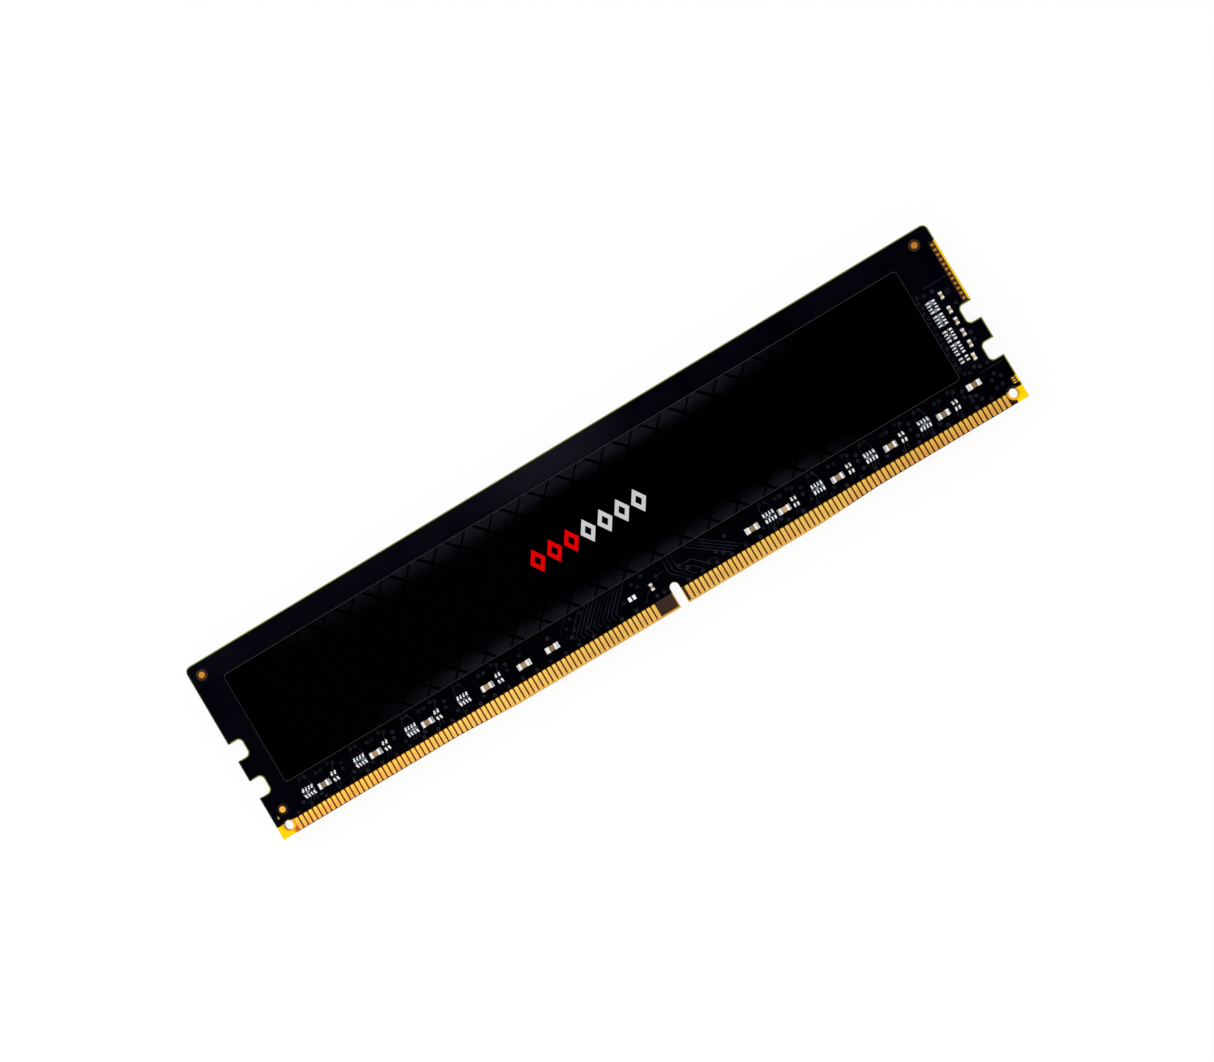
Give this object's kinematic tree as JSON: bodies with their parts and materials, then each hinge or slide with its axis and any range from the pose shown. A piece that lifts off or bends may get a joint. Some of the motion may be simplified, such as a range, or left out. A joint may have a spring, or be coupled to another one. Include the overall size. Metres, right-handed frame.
{
  "type": "ram module",
  "caption": "Long flat memory board with gold edge contacts, a key notch, end latch notches, rows of tiny chips and a black heat-spreader panel with a diamond lattice.",
  "frame": {"origin": "under the middle of the part, on the plane it lies on (the back panel's face)", "axes": "+X along the board from the first contact's end, +Y from the contact edge to the top edge, +Z out of the front face"},
  "size_m": [0.1334, 0.0312, 0.0047],
  "materials": {
    "core_laminate": "satin cut edge of glass-epoxy",
    "outer_laminate": "satin, copper plane showing through the resin",
    "copper": "satin",
    "contact_gold": "polished gold plating over nickel",
    "masked_copper": "gloss, copper under the solder mask",
    "solder_mask": "gloss, near black with a blue tint",
    "resistor_ceramic": "gloss black overglaze",
    "tin_plating": "bright tin",
    "capacitor_ceramic": "satin ceramic",
    "solder": "bright",
    "mould_compound": "matt",
    "package_substrate": "satin",
    "silicon": "polished",
    "adhesive": "matt",
    "spreader_aluminium": "satin",
    "black_film": "satin black print",
    "emblem_ink": "satin print"
  },
  "bodies": {
    "root": {"adhesive_sheet_back": "adhesive", "adhesive_sheet_front": "adhesive", "capacitor_bodies_back": "capacitor_ceramic", "capacitor_bodies_front": "capacitor_ceramic", "capacitor_ends_back": "tin_plating", "capacitor_ends_front": "tin_plating", "config_chip_case": "mould_compound", "config_chip_pads": "tin_plating", "copper_marks_back": "contact_gold", "copper_marks_front": "contact_gold", "core_laminate": "core_laminate", "emblem_print_back": "emblem_ink", "emblem_print_front": "emblem_ink", "ground_plane": "copper", "left_contacts_back": "contact_gold", "left_contacts_front": "contact_gold", "memory_case_1_back": "mould_compound", "memory_case_1_front": "mould_compound", "memory_case_2_back": "mould_compound", "memory_case_2_front": "mould_compound", "memory_case_3_back": "mould_compound", "memory_case_3_front": "mould_compound", "memory_case_4_back": "mould_compound", "memory_case_4_front": "mould_compound", "memory_case_5_back": "mould_compound", "memory_case_5_front": "mould_compound", "memory_case_6_back": "mould_compound", "memory_case_6_front": "mould_compound", "memory_case_7_back": "mould_compound", "memory_case_7_front": "mould_compound", "memory_case_8_back": "mould_compound", "memory_case_8_front": "mould_compound", "memory_dies_back": "silicon", "memory_dies_front": "silicon", "memory_substrates_back": "package_substrate", "memory_substrates_front": "package_substrate", "outer_laminate_back": "outer_laminate", "outer_laminate_front": "outer_laminate", "plated_vias": "masked_copper", "power_plane": "copper", "printed_film_back": "black_film", "printed_film_front": "black_film", "resistor_bodies_back": "resistor_ceramic", "resistor_bodies_front": "resistor_ceramic", "resistor_terminals_back": "tin_plating", "resistor_terminals_front": "tin_plating", "right_contacts_back": "contact_gold", "right_contacts_front": "contact_gold", "solder_balls_back": "solder", "solder_balls_front": "solder", "solder_joints_back": "solder", "solder_joints_front": "solder", "solder_mask_back": "solder_mask", "solder_mask_front": "solder_mask", "spreader_plate_back": "spreader_aluminium", "spreader_plate_front": "spreader_aluminium", "traces_back": "masked_copper", "traces_front": "masked_copper"}
  },
  "joints": []
}
